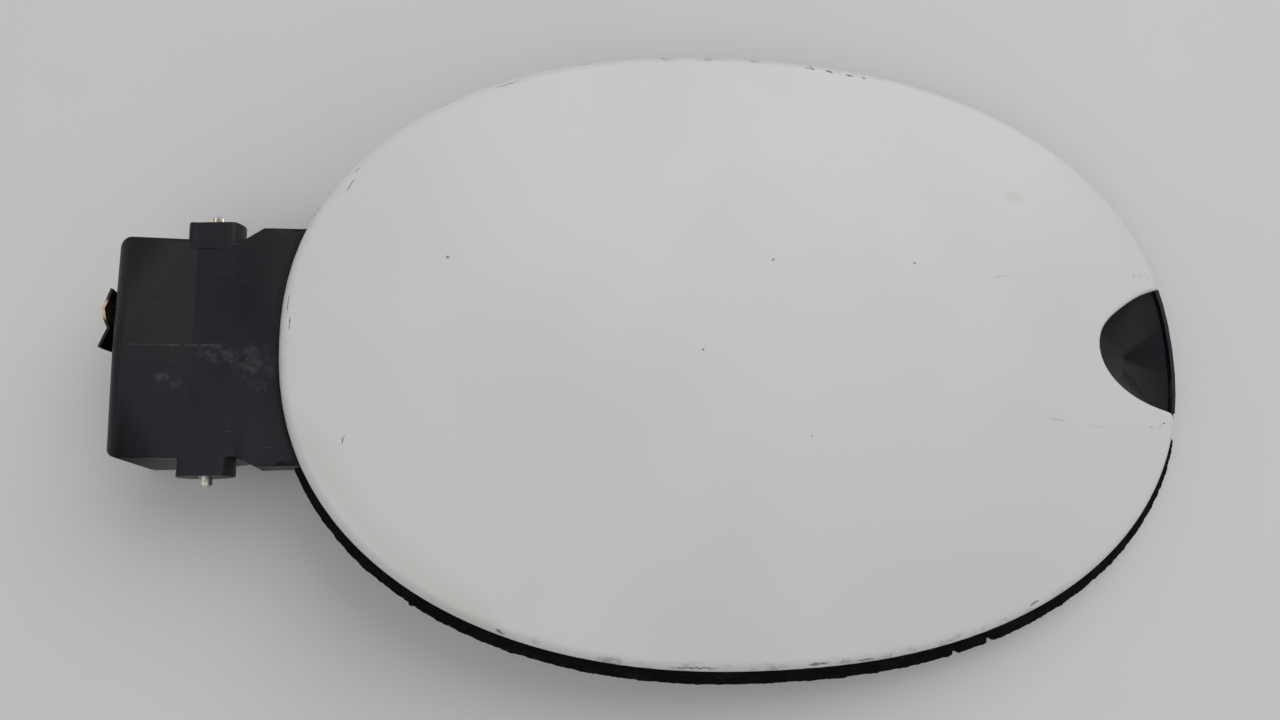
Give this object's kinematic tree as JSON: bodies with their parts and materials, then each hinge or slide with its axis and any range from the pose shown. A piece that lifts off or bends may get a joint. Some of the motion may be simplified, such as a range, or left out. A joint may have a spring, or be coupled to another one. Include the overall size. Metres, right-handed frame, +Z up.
{
  "type": "car fuel door",
  "caption": "Oval domed car fuel door with a finger notch, foam edge seal, moulded carrier and gooseneck hinge arm on a steel rod.",
  "frame": {"origin": "middle of the foot of the box of the whole door as it lies face up on its tail and rim", "axes": "+X from the hinge towards the finger notch along the ground, +Y along the hinge rod, +Z up"},
  "size_m": [0.2762, 0.162, 0.0369],
  "materials": {
    "panel_paint": "glossy white paint",
    "carrier_plastic": "moulded satin black",
    "seal_foam": "open cell foam",
    "adhesive": "cured bead",
    "rod_steel": "ground steel",
    "spring_steel": "tempered strip with a brown bloom",
    "rivet_steel": "zinc plated",
    "buffer_rubber": "moulded rubber"
  },
  "bodies": {
    "door": {"outer_panel": "panel_paint", "inner_carrier": "carrier_plastic", "edge_seal": "seal_foam", "adhesive_bead": "adhesive", "leaf_spring": "spring_steel", "spring_rivets": "rivet_steel", "bump_stops": "buffer_rubber"},
    "rod": {"hinge_rod": "rod_steel"}
  },
  "joints": [
    {"name": "door_hinge", "type": "hinge", "parent": "door", "child": "rod", "pos_m": [-0.11338, 0.001, 0.02452], "axis": [0, 1, 0], "range_deg": [0, 95]}
  ]
}
